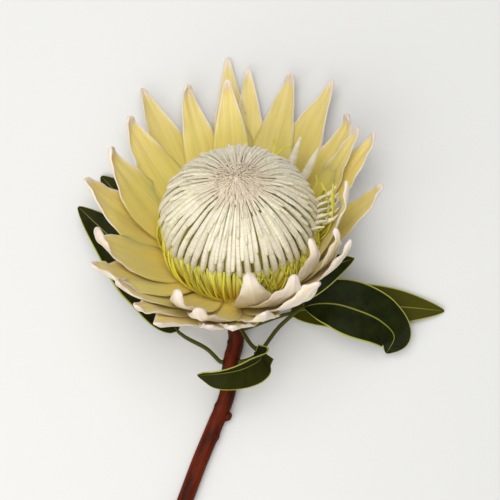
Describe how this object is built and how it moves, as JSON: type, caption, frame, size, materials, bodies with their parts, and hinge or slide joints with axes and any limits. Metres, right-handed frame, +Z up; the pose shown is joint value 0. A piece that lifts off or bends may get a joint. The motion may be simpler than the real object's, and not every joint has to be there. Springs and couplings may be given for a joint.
{
  "type": "king protea flower",
  "caption": "Cut king protea flower lying on a surface, with open creamy yellow bracts, a domed cream floret head, dark leathery leaves and a short stem.",
  "frame": {"origin": "the flat on the underside of the stem where it rests on the surface, just below the flower head", "axes": "+Z up from the surface, +Y from the cut end of the stem towards the flower head"},
  "size_m": [0.2365, 0.3329, 0.1267],
  "materials": {
    "bract": "soft satin, creamy yellow with white felted margins",
    "basal_bract": "felted, brownish white",
    "floret": "silky hairs, cream",
    "style": "smooth, yellow-green",
    "stem": "smooth young bark, red-brown with olive flecks",
    "leaf": "leathery, half gloss, dark green with a thin yellow margin"
  },
  "bodies": {
    "root": {"involucral_bracts": "bract", "basal_bracts": "basal_bract", "floret_limbs": "floret", "floret_tubes": "style", "stem": "stem", "leaf_front": "leaf", "leaf_right_large": "leaf", "leaf_right_olive": "leaf", "leaf_right_small": "leaf", "leaf_left_lower": "leaf", "leaf_left_upper": "leaf"}
  },
  "joints": []
}
